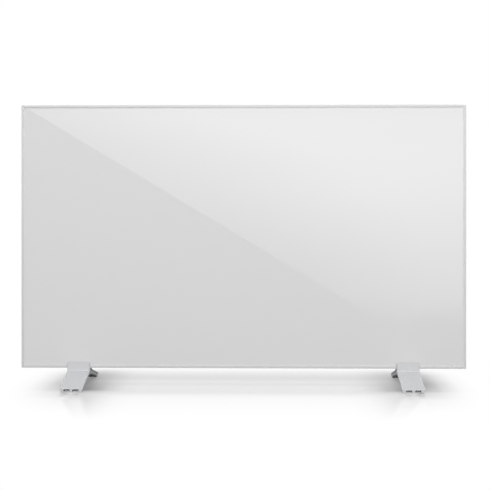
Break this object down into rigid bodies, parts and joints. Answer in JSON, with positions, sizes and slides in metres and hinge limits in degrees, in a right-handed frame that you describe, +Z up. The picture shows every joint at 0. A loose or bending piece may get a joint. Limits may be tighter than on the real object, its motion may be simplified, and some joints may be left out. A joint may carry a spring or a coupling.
{
  "type": "infrared panel heater",
  "caption": "Flat infrared panel heater: glossy white glass front in a slim frame, on two low sloping feet, with a junction box, cable gland and rocker switch behind.",
  "frame": {"origin": "on the floor, midway between the feet, in the middle plane of the panel", "axes": "+X to the right seen from the front, +Y from the glass to the back, +Z up"},
  "size_m": [1.005, 0.24, 0.633],
  "materials": {
    "glass_white": "gloss",
    "frame_white": "satin",
    "foot_white": "satin",
    "seal_grey": "matte",
    "rubber_dark": "matte",
    "zinc_steel": "satin",
    "sheet_white": "satin",
    "laminate": "satin",
    "copper": "satin",
    "foil": "polished",
    "mineral_board": "matte",
    "cup_metal": "satin",
    "phenolic": "matte",
    "brass_part": "satin",
    "silicone_white": "matte",
    "silicone_red": "matte",
    "silicone_green": "matte",
    "box_plastic": "matte",
    "block_plastic": "satin",
    "gland_nylon": "satin",
    "switch_black": "satin"
  },
  "bodies": {
    "heater": {"front_glass": "glass_white", "glass_gasket": "seal_grey", "frame_bottom": "frame_white", "frame_top": "frame_white", "frame_left": "frame_white", "frame_right": "frame_white", "corner_keys": "zinc_steel", "foot_left": "foot_white", "foot_right": "foot_white", "slot_liners": "rubber_dark", "foot_screws": "zinc_steel", "nut_bars": "zinc_steel", "foot_pads": "rubber_dark", "heating_plate": "laminate", "busbars": "copper", "reflector_foil": "foil", "insulation_board": "mineral_board", "cutout_cups": "cup_metal", "cutout_bodies": "phenolic", "cutout_tabs": "brass_part", "lead_line": "silicone_red", "lead_link": "silicone_red", "lead_upper": "silicone_red", "lead_lower": "silicone_white", "back_panel": "sheet_white", "back_screws": "zinc_steel", "wall_inserts": "zinc_steel", "lead_grommet": "rubber_dark", "junction_base": "box_plastic", "junction_lid": "box_plastic", "lid_screws": "zinc_steel", "base_rivets": "cup_metal", "terminal_block": "block_plastic", "terminal_clamps": "brass_part", "terminal_screws": "zinc_steel", "gland_body": "gland_nylon", "gland_locknut": "gland_nylon", "gland_seal": "rubber_dark", "gland_cap": "gland_nylon", "switch_housing": "switch_black", "switch_tabs": "brass_part", "switch_lead": "silicone_red", "earth_stud": "zinc_steel", "earth_tag": "zinc_steel", "earth_nut": "zinc_steel", "earth_lead": "silicone_green"},
    "rocker": {"switch_rocker": "switch_black"}
  },
  "joints": [
    {"name": "power_switch", "type": "hinge", "parent": "heater", "child": "rocker", "pos_m": [0.468, 0.0248, 0.138], "axis": [0, 1, 0], "range_deg": [0, 20]}
  ]
}
